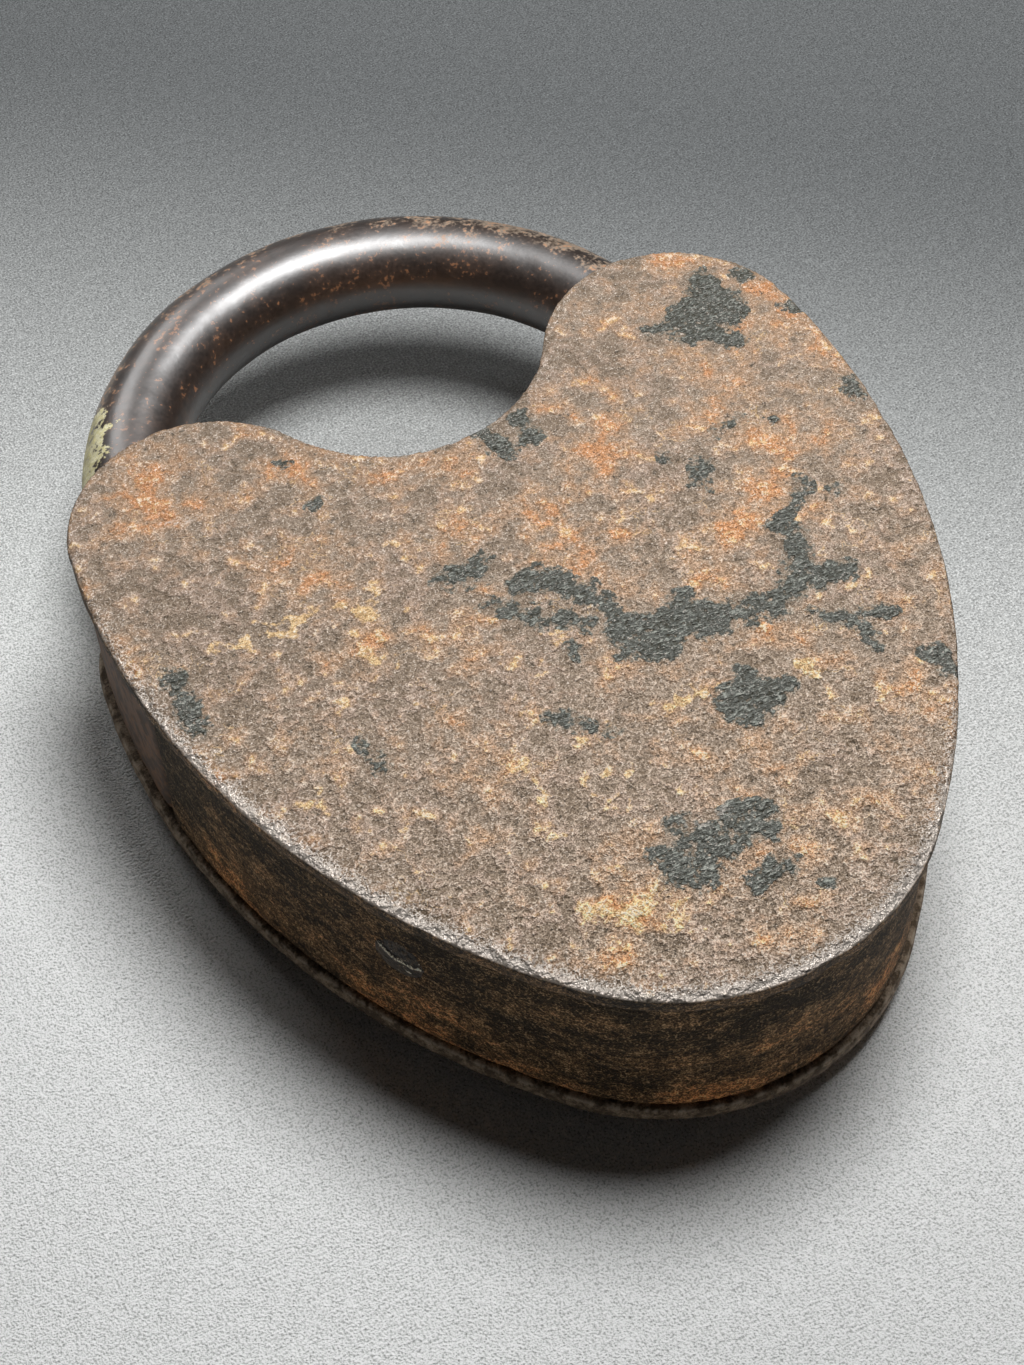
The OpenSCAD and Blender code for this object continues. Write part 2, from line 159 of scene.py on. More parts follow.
class Finish(Net):
    """A material whose patterns are laid out in millimetres."""

    def __init__(self, name):
        self.material = bpy.data.materials.new(name)
        self.material.use_nodes = True
        super().__init__(self.material.node_tree)
        self.tree.nodes.clear()
        place = self.node("ShaderNodeTexCoord", out="Object")
        self.spot = self.node("ShaderNodeVectorMath", {"operation": "SCALE"},
                              {"Vector": place, "Scale": 1000.0})

    def laid(self, size, shift, stretch):
        return self.node("ShaderNodeMapping", {}, {
            "Vector": self.spot, "Location": (shift, 1.7 * shift, -shift),
            "Scale": [1 / (size * s) for s in stretch]})

    def grain(self, size, detail=2, shift=0.0, stretch=(1, 1, 1), rough=0.6):
        """Noise around 0, mostly between -2 and 2, with lumps about size mm across."""
        noise = self.node("ShaderNodeTexNoise", {}, {
            "Vector": self.laid(size, shift, stretch), "Scale": 1.0, "Detail": float(detail),
            "Roughness": rough})
        return (noise - 0.5) * (1 / NOISE_SPREAD[detail])

    def between(self, value, low, high):
        """0 below low, 1 above high, and a smooth step in between."""
        return self.node("ShaderNodeMapRange", {"interpolation_type": "SMOOTHSTEP"},
                         {"Value": value, "From Min": low, "From Max": high})

    def along(self, axis):
        """One coordinate, in mm."""
        return self.node("ShaderNodeSeparateXYZ", {}, {"Vector": self.spot}, axis)

    def marked(self, name):
        return self.node("ShaderNodeAttribute", {"attribute_name": name}, {}, "Fac")

    def blend(self, under, over, mask):
        return self.node("ShaderNodeMix", {"data_type": "RGBA"}, {0: mask, 6: under, 7: over}, 2)

    def shaded(self, colour, stops, hollow=HOLLOW):
        """A colour made lighter where stops, in camera stops, is above 0, and darker and warmer
        where it is below."""
        gain = self.node("ShaderNodeMath", {"operation": "POWER"}, {0: 2.0, 1: stops})
        times = {"data_type": "RGBA", "blend_type": "MULTIPLY", "clamp_result": True}
        colour = self.node("ShaderNodeMix", times, {0: 1.0, 6: colour, 7: gain}, 2)
        deep = self.between(stops, 0.0, -1.0)
        return self.node("ShaderNodeMix", times, {0: deep, 6: colour, 7: hollow}, 2)

    def surface(self, colour, roughness, height, depth, metallic=0.0, **fixed):
        """The shader, with a relief of about depth mm for each 1 of height."""
        bump = self.node("ShaderNodeBump", {}, {"Height": height, "Distance": depth / 1000})
        shader = self.node("ShaderNodeBsdfPrincipled", {}, {
            "Base Color": colour, "Roughness": roughness, "Metallic": metallic, "Normal": bump,
            **{name.replace("_", " "): value for name, value in fixed.items()}})
        self.node("ShaderNodeOutputMaterial", {}, {"Surface": shader})
        return self.material


def paper():
    f = Finish("grey_paper")
    reach = f.along("X") * 0.62 + f.along("Y") * 0.785
    # painted shade: the paper darkens towards the far end, for the light's fall-off
    colour = f.blend(tint(252, 254, 252), tint(108, 111, 112), f.between(reach, -46, 104))
    tooth = f.grain(0.27, 1, 0) * 0.30 + f.grain(0.8, 1, 5) * 0.07 + f.grain(2.0, 2, 9) * 0.03 - 0.02
    colour = f.shaded(colour, tooth, PLAIN)
    return f.surface(colour, 0.55, tooth, 0.10, Specular_IOR_Level=0.5)


FLOOR_HALF = 3.0
sheet = bpy.data.meshes.new("floor")
sheet.from_pydata([(x * FLOOR_HALF, y * FLOOR_HALF, 0) for x, y in ((-1, -1), (1, -1), (1, 1), (-1, 1))],
                  [], [(0, 1, 2, 3)])
sheet.materials.append(paper())
floor = bpy.data.objects.new("floor", sheet)
bpy.context.scene.collection.objects.link(floor)

# ---------------------------------------------------------------- back plate
# Sheet iron cut to a heart and riveted over the case. It lies uppermost, so it took the weather:
# an even brown rust with a fine grain, orange blooms, islands of black forge scale that never
# came off, a few dents, and an edge worn bright by handling, with painted glints on it.
PLATE_VOXEL = 0.42      # mm
UMBER = tint(150, 132, 114)
TAUPE = tint(168, 149, 131)
MAUVE = tint(178, 156, 139)
PEACH = tint(196, 160, 129)
ORANGE = tint(223, 158, 107)
CREAM = tint(238, 200, 146)
SPARKLE_HIGHLIGHT = tint(250, 232, 210)
PORE = tint(84, 74, 62)
SLATE = tint(104, 106, 100)
MOSS = tint(138, 132, 120)
BARE_IRON_AND_GLINT = tint(234, 224, 214)
WALL_DARK = tint(64, 52, 36)
WALL_BROWN = tint(104, 80, 54)
WALL_ORANGE = tint(160, 104, 62)
WALL_GLINT = tint(190, 164, 128)
LIP_DARK = tint(92, 76, 58)
LIP_GREY = tint(158, 138, 116)
LIP_HIGHLIGHT = tint(206, 190, 170)

# Islands of scale, as strokes: from x, y to x, y in mm from the heart's middle line and the
# centre height of its sides, half the stroke's width, and how whole the scale is
SCALE = [
    (32.4, 32.8, 36.6, 33.6, 3.1, 1), (27.6, 34.0, 31.0, 33.2, 0.8, 1),
    (35.6, 35.5, 36.6, 38.0, 1.7, 1), (33.0, 30.5, 35.2, 28.4, 1.2, 1),
    (41.2, 37.0, 41.8, 37.2, 0.9, 1), (43.4, 30.0, 44.2, 30.0, 0.5, 1),
    (43.4, 14.6, 43.6, 16.6, 0.9, 1), (19.5, 15.4, 19.5, 16.8, 0.4, 0.9),
    (26.8, 16.0, 29.0, 17.0, 0.6, 0.8), (32.0, 15.5, 32.2, 15.5, 0.5, 1),
    (21.0, 11.0, 22.6, 13.0, 1.2, 0.75), (25.0, 1.5, 31.0, 5.5, 0.7, 0.9),
    (33.5, 3.0, 33.7, 3.0, 0.6, 1), (19.8, -8.0, 24.0, -5.0, 1.5, 1), (24.0, -5.0, 26.2, -1.0, 1.5, 1),
    (24.0, -5.6, 28.8, -7.0, 1.3, 1), (15.0, -8.4, 20.0, -6.6, 0.6, 0.9),
    (23.0, -11.0, 26.0, -13.0, 1.0, 0.9), (26.0, -13.0, 30.0, -14.0, 0.8, 0.8),
    (26.0, -13.0, 26.2, -17.0, 0.8, 0.8), (4.6, -3.2, 12.4, -6.2, 2.2, 1),
    (3.6, -5.4, 7.2, -7.4, 1.5, 1), (10.4, -3.6, 11.2, -2.2, 1.3, 1),
    (13.2, -6.6, 14.6, -6.0, 1.1, 0.9), (-2.8, 7.2, -0.2, 6.8, 1.7, 0.95),
    (-0.2, 6.8, 2.4, 3.4, 1.5, 0.95), (2.4, 3.4, 4.2, 0.6, 1.0, 0.95), (-6.8, 6.4, -3.4, 2.6, 1.0, 0.8),
    (-1.6, 2.0, 1.4, -1.2, 0.9, 0.85), (16.0, -6.0, 18.6, -6.6, 0.9, 0.9),
    (-9.2, 11.6, -5.6, 11.4, 1.6, 0.62), (-2.6, -3.0, -2.4, -3.0, 0.7, 1),
    (-7.6, -10.2, -5.6, -12.0, 1.0, 0.85), (-3.6, -14.0, -2.0, -14.0, 0.4, 0.9),
    (10.4, -17.0, 12.6, -17.0, 2.3, 1), (12.8, -17.0, 16.0, -17.2, 0.8, 1),
    (12.4, -15.0, 12.7, -13.6, 0.9, 1), (11.0, -19.0, 10.4, -19.8, 0.8, 1),
    (-5.0, -30.2, 4.0, -30.0, 2.5, 0.68), (-3.2, -27.0, -2.8, -26.4, 1.0, 0.8),
    (-6.2, -33.0, -2.4, -33.2, 1.0, 0.75), (0.4, -36.6, 4.2, -36.0, 1.3, 0.62),
    (6.5, -39.0, 6.7, -39.0, 0.6, 0.9), (31.0, -22.6, 31.2, -20.4, 1.1, 1),
    (3.4, 28.4, 4.4, 25.6, 1.3, 0.85), (7.4, 28.4, 8.0, 26.0, 1.3, 0.85),
    (-40.7, 5.4, -40.7, 12.6, 1.1, 0.8), (-26.0, -8.2, -26.0, -3.0, 0.6, 0.8),
    (-18.2, 35.0, -17.6, 35.0, 0.7, 0.65), (-18.0, 28.0, -17.8, 28.0, 0.5, 0.65),
]
# Young rust, orange and yellow: middle, half width and half height in mm, and strength
BLOOMS = [
    (-34.5, 39, 3.5, 4, 0.9), (-16, 34, 4, 4, 0.8), (38, 33, 8, 9, 0.55), (34.5, 42, 6, 3, 0.6),
    (13, 20, 3, 5, 1), (19, 31, 4, 3, 0.8), (25, 4.5, 7, 5, 1), (18, -3.5, 3, 5, 0.9),
    (-2.5, 25, 3.5, 3, 0.8), (-22, 7, 7, 4, 0.8), (-12.5, -34, 8, 5, 1.15), (0.5, -41, 6, 3.2, 1),
    (-20, -28.5, 6, 3.5, 0.8), (27, -23, 4, 5, 0.7), (-28, 22, 8, 5, 0.45), (10, 8, 7, 5, 0.5),
    (30, 20, 6, 7, 0.45), (8, -27, 8, 5, 0.4), (34, -8, 5, 9, 0.45), (2, -35, 13, 6, 0.75),
    (14, -33, 8, 5, 0.7), (-4, 16, 8, 4, 0.45),
]
YELLOWS = [
    (-28, 13.8, 9, 1.6, 1), (-19, 11, 2.5, 2.5, 1), (-33, -7.5, 2, 2, 1), (5.5, -13.5, 4, 1.6, 0.9),
    (18, -16.5, 1.2, 3, 1), (-12, -34, 6, 3, 0.6), (-20, 5, 5, 2, 0.7), (-8, -20, 8, 6, 0.3),
]
# Dents: middle, radius and depth in mm
DENTS = [
    (-30, -25, 1.3, 0.30), (31.5, -21.5, 2.0, 0.28), (-33.5, 33, 2.2, 0.12), (14, -36, 2.5, 0.12),
    (-20, 20, 3, 0.10),
]

# Where a flaking crust lies thick: middle, half width and half height in mm, and strength
FLAKY = [(-36, 24, 14, 18, 1.0), (-30, -12, 12, 22, 0.7), (0, -38, 26, 10, 0.9)]
SAME_SPOT = 1e-7        # metres between points that are one

post_marks = []         # where a hammered rivet end shows as a ring: x, y, radius, depth in mm


def swell(points, size, seed):
    """Smooth noise from -1 to 1 at an array of points, with lumps about size across."""
    cell = points / size + seed * 7.31
    low = np.floor(cell).astype(np.int64)
    part = cell - low
    part = part * part * (3 - 2 * part)
    total = np.zeros(len(points))
    for corner in itertools.product((0, 1), repeat=3):
        n = low + np.array(corner)
        mixed = (n[:, 0] * 374761393 + n[:, 1] * 668265263 + n[:, 2] * 1442695041) & 0xFFFFFFFF
        mixed = ((mixed ^ (mixed >> 13)) * 1274126177) & 0xFFFFFFFF
        value = ((mixed ^ (mixed >> 16)) & 0xFFFF) / 32767.5 - 1
        weight = np.prod(np.where(np.array(corner), part, 1 - part), axis=1)
        total += weight * value
    return total


def settled(piece):
    """Turns a piece's modifiers into its plain mesh."""
    graph = bpy.context.evaluated_depsgraph_get()
    piece.data = bpy.data.meshes.new_from_object(piece.evaluated_get(graph))
    piece.modifiers.clear()
    piece.data.name = piece.name


def skin(name, nodes, voxel, plugs=()):
    """A new object: one skin of even faces, voxel mm wide, round copies of CAD nodes, with holes
    plugged if asked. A plug is x, y, radius, low z and high z in metres."""
    copy = bmesh.new()
    for node in nodes:
        copy.from_mesh(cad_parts[node].data)
    bmesh.ops.remove_doubles(copy, verts=copy.verts, dist=SAME_SPOT)
    for x, y, radius, low, high in plugs:
        middle = Matrix.Translation((x, y, (low + high) / 2))
        bmesh.ops.create_cone(copy, cap_ends=True, segments=32, radius1=radius, radius2=radius,
                              depth=high - low, matrix=middle)
    mesh = bpy.data.meshes.new(name)
    copy.to_mesh(mesh)
    copy.free()
    piece = bpy.data.objects.new(name, mesh)
    bpy.context.scene.collection.objects.link(piece)
    remesh = piece.modifiers.new("skin", "REMESH")
    remesh.mode = "VOXEL"
    remesh.voxel_size = voxel / 1000
    settled(piece)
    piece.data.shade_smooth()
    return piece


def read(piece):
    """Points in mm, normals and edges of a piece's mesh, as arrays."""
    mesh = piece.data
    at, out = np.empty(len(mesh.vertices) * 3), np.empty(len(mesh.vertices) * 3, np.float32)
    mesh.vertices.foreach_get("co", at)
    mesh.vertex_normals.foreach_get("vector", out)
    pairs = np.empty(len(mesh.edges) * 2, np.int32)
    mesh.edges.foreach_get("vertices", pairs)
    return at.reshape(-1, 3) * 1000, out.reshape(-1, 3).astype(float), pairs.reshape(-1, 2)


def write(piece, at):
    piece.data.vertices.foreach_set("co", (at / 1000).ravel())
    piece.data.update()


def note(piece, name, values):
    """Stores one number for each point, for the material."""
    piece.data.attributes.new(name, "FLOAT", "POINT").data.foreach_set("value", values.astype(np.float32))


def eased(at, pairs, rounds, share=1.0):
    """Points moved towards their neighbours' middle, which rounds worn corners."""
    count = np.bincount(pairs.ravel(), minlength=len(at))[:, None]
    for _ in range(rounds):
        total = np.zeros_like(at)
        np.add.at(total, pairs[:, 0], at[pairs[:, 1]])
        np.add.at(total, pairs[:, 1], at[pairs[:, 0]])
        at = at + (total / np.maximum(count, 1) - at) * 0.5 * share
    return at


def from_rim(at, out, holes=()):
    """Distance of each point from the plate's outer edge, in mm, found from its side wall."""
    wall = np.abs(out[:, 2]) < 0.4
    for x, y, reach in holes:
        wall &= np.hypot(at[:, 0] - x, at[:, 1] - y) > reach
    spots = at[wall]
    tree = KDTree(len(spots))
    for i, p in enumerate(spots):
        tree.insert((p[0], p[1], 0), i)
    tree.balance()
    return np.array([tree.find((p[0], p[1], 0))[2] for p in at])


def stroke(x, y, x0, y0, x1, y1):
    """Distance from a straight stroke."""
    dx, dy = x1 - x0, y1 - y0
    t = np.clip(((x - x0) * dx + (y - y0) * dy) / (dx * dx + dy * dy + 1e-9), 0, 1)
    return np.hypot(x - x0 - t * dx, y - y0 - t * dy)


def blooms(x, y, spots):
    total = np.zeros(len(x))
    for x0, y0, rx, ry, strength in spots:
        total = np.maximum(total, strength * np.exp(-(((x - x0) / rx) ** 2 + ((y - y0) / ry) ** 2)))
    return total


# The heart's own axes: its middle line, and the centre height of the curves of its foot
plate_low, plate_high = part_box("back_plate")
FOOT = 47.3             # mm from there to the foot's lowest point
HEART_Y = plate_low.y * 1000 + FOOT


def walled(f, stain):
    """Colour and relief of a standing wall: fuzzy brown rust over black, orange where stain is high,
    with painted glints. Its dark tones are partly painted shade of a wall turned from the light.
    """
    broad = f.grain(9, 3, 8, (1.5, 1.5, 0.7))
    streak = f.grain(1.5, 3, 3, (1.6, 1.6, 0.8))
    worm = f.grain(0.8, 1, 13, (1.2, 1.2, 1))
    worm = (f.between(worm * worm, 0.8, 0.0) - 0.4) * 2
    tooth = f.grain(0.2, 1, 23)
    rusty = stain + broad * 0.5 + streak * 0.4 + worm * 0.4 + tooth * 0.2
    colour = f.blend(WALL_DARK, WALL_BROWN, f.between(rusty, -2.0, 1.0))
    colour = f.blend(colour, WALL_ORANGE, f.between(rusty, 0.6, 2.6) * 0.8)
    colour = f.shaded(colour, tooth * 0.66 + worm * 0.52 + streak * 0.24 + broad * 0.20 + 0.12)
    # painted highlights: glints on the crests of the grain
    glint = f.between(tooth * 0.8 + worm * 0.8 + streak * 0.3, 1.3, 2.6)
    colour = f.blend(colour, WALL_GLINT, glint * 0.5)
    return colour, tooth * 0.3 + worm * 0.6 + streak * 0.6


def rusted(name, lip):
    """Brown rust with all that a plate's marks ask for. The plate's standing edge is rusty like
    the band, partly painted shade, or rubbed to a brown grey with a painted highlight where lip is true."""
    f = Finish(name)
    scale, bloom, yellow, worn, ring, side, edge, flaky = (
        f.marked(m) for m in ("scale", "bloom", "yellow", "worn", "ring", "side", "edge", "flaky"))
    broad = f.grain(11, 3, 3)
    mottle = f.grain(3.2, 3, 11)
    clump = f.grain(1.5, 2, 17)
    speck = f.grain(0.5, 1, 23)
    tooth = f.grain(0.17, 1, 31)
    # slow colour: taupe to mauve, with peach, orange and cream where the rust is young
    colour = f.blend(UMBER, TAUPE, f.between(mottle * 0.8 + broad * 0.7 + clump * 0.5, -2.2, -0.4))
    colour = f.blend(colour, MAUVE, f.between(mottle * 0.7 + clump * 0.6 - broad * 0.3, -0.6, 1.2))
    height_up = f.along("Y")
    heat = bloom * 2.2 + broad * 0.6 + mottle * 0.75 + clump * 0.35 + height_up * 0.012
    colour = f.blend(colour, PEACH, f.between(heat, -0.6, 2.2) * 0.9)
    colour = f.blend(colour, ORANGE, f.between(heat, 1.7, 3.4) * 0.9)
    straw = f.between(yellow * 2.2 + bloom * 0.5 + clump * 0.8 + mottle * 0.5, 1.7, 2.9)
    colour = f.blend(colour, CREAM, straw * 0.85)
    # thin pale veins along the edges of old flakes
    line = f.grain(5.0, 3, 61)
    vein = f.between(line * line, 0.012, 0.0) * f.between(heat * 0.5 + f.grain(8, 1, 67), 0.4, 1.4)
    colour = f.blend(colour, CREAM, vein * 0.5)
    # scale: whole in the islands, thin and mossy along their shores
    shore = scale * 4.2 + (mottle * 0.5 + clump * 0.75 + speck * 0.4) * f.between(scale, 0.02, 0.15)
    colour = f.blend(colour, MOSS, f.between(shore, 0.7, 2.1) * 0.85)
    island = f.between(shore, 2.0, 2.5)
    colour = f.blend(colour, SLATE, island)
    crinkle = f.grain(0.42, 1, 47, (1.7, 0.8, 1), 0.8)
    # the grain: crests catch the light and hollows hold dark, the same for every colour
    coarse = 0.82 - height_up * 0.008        # the rust is thickest towards the foot
    curl = f.grain(0.72, 1, 71)
    curl = f.between(curl * curl, 0.9, 0.0) - 0.42      # thin raised curls between the pits
    relief = (tooth * 0.38 + curl * 0.62 + speck * 0.10 + clump * 0.05) * coarse * (1 - island * 0.5)
    relief = relief - (height_up + 28) * 0.005          # and painted shade, darker towards the lobes, where the softbox is nearer
    relief = relief + island * (crinkle * 0.30 + f.between(crinkle, 0.7, 1.4) * 0.8)
    colour = f.shaded(colour, relief)
    colour = f.blend(colour, PORE, f.between(speck * 0.8 + clump * 0.5 + tooth * 0.5, -2.1, -2.8) * 0.8)
    # painted highlights: pale sparkles on the grain's highest crests
    sparkle_highlight = tooth * 0.6 + speck * 0.7 + clump * 0.5 + heat * 0.2 + coarse * 0.5
    colour = f.blend(colour, SPARKLE_HIGHLIGHT, f.between(sparkle_highlight, 2.2, 3.0) * (1 - island) * 0.7)
    # the standing edge, in dark wall tones that are partly painted shade
    wall, wall_relief = walled(f, -0.7)
    if lip:
        wall = f.blend(LIP_DARK, LIP_GREY, f.between(clump * 0.7 + speck * 0.5, -1.4, 1.6))
        wall = f.shaded(wall, tooth * 0.3)
        # painted highlight: a pale line along the lip's upturned edge
        wall = f.blend(wall, LIP_HIGHLIGHT, f.between(edge + clump * 0.2, 0.3, 1.1) * 0.5)
        wall_relief = wall_relief * 0.3
    colour = f.blend(colour, wall, side)
    # bare iron where the edge is worn, with painted glints on the curls and crests
    wear_and_glint = f.between(worn * 4.6 + curl * 1.2 + tooth * 0.7, 0.9, 2.7) * (1 - side)
    # painted highlight beside the two deeper rivet rings
    wear_and_glint = wear_and_glint + ring * f.between(clump + speck, 0.0, 1.0) * 0.9
    colour = f.blend(colour, BARE_IRON_AND_GLINT, wear_and_glint * 0.85)
    roughness = 0.56 - island * 0.08 - wear_and_glint * 0.24 + tooth * 0.05
    # thin flakes, lifted along their edges
    flake = f.between(mottle * 0.5 + clump * 0.9 + flaky * 1.6, 0.9, 1.15)
    height = (tooth * 0.25 + curl * 0.8 + speck * 0.4 + clump * 1.3 + mottle * 1.2 + flake * 1.6) * coarse
    height = height + island * 1.5 + island * crinkle * 1.1
    height = height * (1 - side) + wall_relief * side
    return f.surface(colour, roughness + side * 0.15, height, 0.05, metallic=wear_and_glint * 0.4,
                     Specular_IOR_Level=0.4)


def weathered(piece, seed, strokes, bloom_spots, yellow_spots, dents, holes, facing, wear):
    """Gives a plate its relief and the marks that its rust follows. facing is 1 where the plate's
    outer face looks up and -1 where it looks down, and wear is how far its edge is rubbed."""
    at, out, pairs = read(piece)
    rim = from_rim(at, out, holes)
    at = eased(at, pairs, 2)
    x, y = at[:, 0], at[:, 1] - HEART_Y
    flat = at * (1, 1, 0.2)
    # wavering places, so that no mark has a ruled outline
    wx = x + 0.6 * swell(flat, 3.2, seed + 1) + 0.4 * swell(flat, 1.3, seed + 2)
    wy = y + 0.6 * swell(flat, 3.2, seed + 3) + 0.4 * swell(flat, 1.3, seed + 4)
    face = np.clip(out[:, 2] * facing * 2 - 1, 0, 1)
    scale = np.zeros(len(at))
    for x0, y0, x1, y1, half, whole in strokes:
        inside = np.clip((half - stroke(wx, wy, x0, y0, x1, y1)) / 1.8 + 0.5, 0, 1)
        scale = np.maximum(scale, inside * (0.30 + 0.70 * whole))
    ring, crescent_highlight = np.zeros(len(at)), np.zeros(len(at))
    for x0, y0, radius, depth in post_marks:
        away = np.hypot(x - x0, y - y0) - radius
        ring = np.maximum(ring, depth * np.exp(-(away / 0.38) ** 2))
        # painted highlight: a bright crescent just outside the near side of the two deeper rings
        turned = np.clip(-0.5 - (y - y0) / radius, 0, 0.5) * 2
        crescent_highlight = np.maximum(crescent_highlight, (depth > 0.1) * turned * np.exp(-((away - 0.35) / 0.3) ** 2))
    pit = np.clip(swell(flat, 1.9, seed + 5) - 0.45, 0, 1)
    pit *= np.clip(swell(flat, 11, seed + 6) + 0.6, 0, 1)
    # heights in mm: buckles, hammer marks, rust and its grain, then pits, scale and rivet rings
    height = (0.10 * swell(flat, 24, seed + 7) + 0.055 * swell(flat, 8, seed + 8)
              + 0.035 * swell(flat, 3, seed + 9) + 0.03 * swell(flat, 1.2, seed + 10)
              - 0.28 * pit + 0.10 * scale - ring)
    for x0, y0, radius, depth in dents:
        height -= depth * np.exp(-((wx - x0) ** 2 + (wy - y0) ** 2) / radius ** 2)
    height -= 0.25 * np.exp(-(rim / 0.7) ** 2) * (0.7 + 0.5 * swell(flat, 4, seed + 11))
    at += out * height[:, None] * (0.25 + 0.75 * face)[:, None]
    nick = np.exp(-(rim / 0.6) ** 2) * np.clip(swell(flat, 2.2, seed + 12) - 0.25, 0, 1)
    at -= out * (nick * 0.35 * wear * (1 - face))[:, None]
    write(piece, at)
    lower_left = np.clip(0.5 - (x * 0.55 + y * 0.84 + 14) / 30, 0, 1)
    worn = wear * (np.exp(-(rim / 1.3) ** 2) * (0.10 + 0.62 * lower_left)
                   + 0.16 * np.exp(-(rim / 3.6) ** 2) * lower_left)
    note(piece, "scale", scale)
    note(piece, "bloom", blooms(wx, wy, bloom_spots))
    note(piece, "yellow", blooms(wx, wy, yellow_spots))
    note(piece, "worn", worn)
    note(piece, "ring", crescent_highlight)
    note(piece, "flaky", blooms(wx, wy, FLAKY))
    # the standing edge, which takes the darker wall tones, partly painted shade
    note(piece, "side", np.clip((0.75 - out[:, 2] * facing) / 0.4, 0, 1) * (rim < 1.5))
    # where the edge turns up towards the light, for the lip's painted highlight
    note(piece, "edge", np.exp(-((out[:, 2] - 0.7) / 0.25) ** 2) * (rim < 1.5))


def middles(node):
    """Low and high corners, in metres, of each separate solid of a CAD node."""
    copy = bmesh.new()
    copy.from_mesh(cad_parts[node].data)
    bmesh.ops.remove_doubles(copy, verts=copy.verts, dist=SAME_SPOT)
    left, found = set(copy.verts), []
    while left:
        reached, group = [left.pop()], []
        while reached:
            vert = reached.pop()
            group.append(vert.co.copy())
            for near in (edge.other_vert(vert) for edge in vert.link_edges):
                if near in left:
                    left.remove(near)
                    reached.append(near)
        found.append((Vector(map(min, zip(*group))), Vector(map(max, zip(*group)))))
    copy.free()
    return sorted(found, key=lambda corners: tuple(corners[0]))


# Rivet ends hammered flush with the back plate. Two of them still show as rings in the rust, each with a
# painted highlight on its near side.
FLUSH = ("heel_rivet", "case_posts", "toe_stop", "key_pin", "bolt_stud", "strap_rivets")
FAINT = (2.2, 0.015)    # radius and depth of a ring in mm
RINGS = {"heel_rivet": (3.2, 0.16), "key_pin": (2.65, 0.13)}
PLUG_RADIUS = 0.0042    # metres, wider than any of their holes
flush_at = [((low + high) / 2, node) for node in FLUSH for low, high in middles(node)]
for middle, node in flush_at:
    post_marks.append((middle.x * 1000, middle.y * 1000 - HEART_Y, *RINGS.get(node, FAINT)))

plugs = [(middle.x, middle.y, PLUG_RADIUS, plate_low.z, plate_high.z) for middle, node in flush_at]
back_plate = skin("back_plate_rusted", ["back_plate"], PLATE_VOXEL, plugs)
weathered(back_plate, 1, SCALE, BLOOMS, YELLOWS, DENTS, (), 1, 1.0)
back_plate.data.materials.append(rusted("rusted_back_plate", lip=False))
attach(back_plate, "case")
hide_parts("back_plate")

# ---------------------------------------------------------------- front plate
# The matching heart under the case, with the keyhole in it. It lay face down, so its rust is
# darker and more even; its lip is dinged where the lock was dropped on its foot.
front_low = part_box("front_plate")[0]
front_plate = skin("front_plate_rusted", ["front_plate"], PLATE_VOXEL)
key_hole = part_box("key_pin")
hole_y = (key_hole[0].y + key_hole[1].y) * 500
FRONT_SCALE = [
    (-24, 20, -12, 26, 3.0, 0.7), (10, 2, 22, -6, 2.4, 0.8), (-10, -8, 2, -14, 1.8, 0.6),
    (24, 28, 30, 34, 2.2, 0.7),
]
FRONT_BLOOMS = [(-20, 6, 12, 9, 0.8), (16, 18, 10, 12, 0.7), (4, -36, 14, 8, 0.9), (-30, 32, 9, 9, 0.6)]
FRONT_YELLOWS = [(-6, 4, 10, 4, 0.6), (24, -14, 6, 8, 0.5)]
# the last is a shallow dish that the keyhole's cover swings over
FRONT_DENTS = [(20, -20, 3, 0.2), (-14, 30, 4, 0.15), (0, hole_y - HEART_Y, 16, 0.25)]
KEYHOLE_REACH = 10      # mm round the keyhole whose walls are not the plate's rim
weathered(front_plate, 40, FRONT_SCALE, FRONT_BLOOMS, FRONT_YELLOWS, FRONT_DENTS,
          [(0, hole_y - 3, KEYHOLE_REACH)], -1, 0.25)
front_plate.data.materials.append(rusted("rusted_front_plate", lip=True))
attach(front_plate, "case")
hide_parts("front_plate")

# ---------------------------------------------------------------- rim band
# One iron strip bent round the case between the plates, open at the shackle's heel and pierced
# for its toe. It is nearly black above, and browner and more orange with rust towards its foot.
# Its dark tones are partly painted shade, for a wall turned from the light.
BAND_VOXEL = 0.40       # mm
rim_band = skin("rim_band_rusted", ["rim_band"], BAND_VOXEL)
at, out, pairs = read(rim_band)
at = eased(at, pairs, 2)
level = at * (1, 1, 2.2)
height = (0.16 * swell(level, 18, 60) + 0.05 * swell(level, 6, 61)
          + 0.035 * swell(at * (0.25, 0.25, 1), 1.0, 62) + 0.02 * swell(at, 1.1, 63)
          - 0.2 * np.clip(swell(at, 2.3, 64) - 0.5, 0, 1))
write(rim_band, at + out * height[:, None])

# marks: painted shade along the band's top under the back plate, a rusty halo round the spring's
# rivet, and beyond it a black stretch that the rust has spared, which ends in orange by the shackle's
# heel
SPARED_Y, SPARED_Z, ORANGE_Y = -5, 17, 13       # mm
button_low, button_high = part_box("spring_rivet")
button_mid = np.array((button_low + button_high) / 2) * 1000
left_side = at[:, 0] < 0
spared = np.exp(-((at[:, 1] - SPARED_Y) / 8) ** 2 - ((at[:, 2] - SPARED_Z) / 9) ** 2)
spared -= np.exp(-((at[:, 1] - ORANGE_Y) / 8) ** 2)
note(rim_band, "shade_under_plate", np.clip((at[:, 2] - plate_low.z * 1000 + 0.7) / 0.6, 0, 1))
note(rim_band, "halo", np.exp(-(np.linalg.norm(at - button_mid, axis=1) / 5.0) ** 2))
note(rim_band, "spared", spared * left_side)

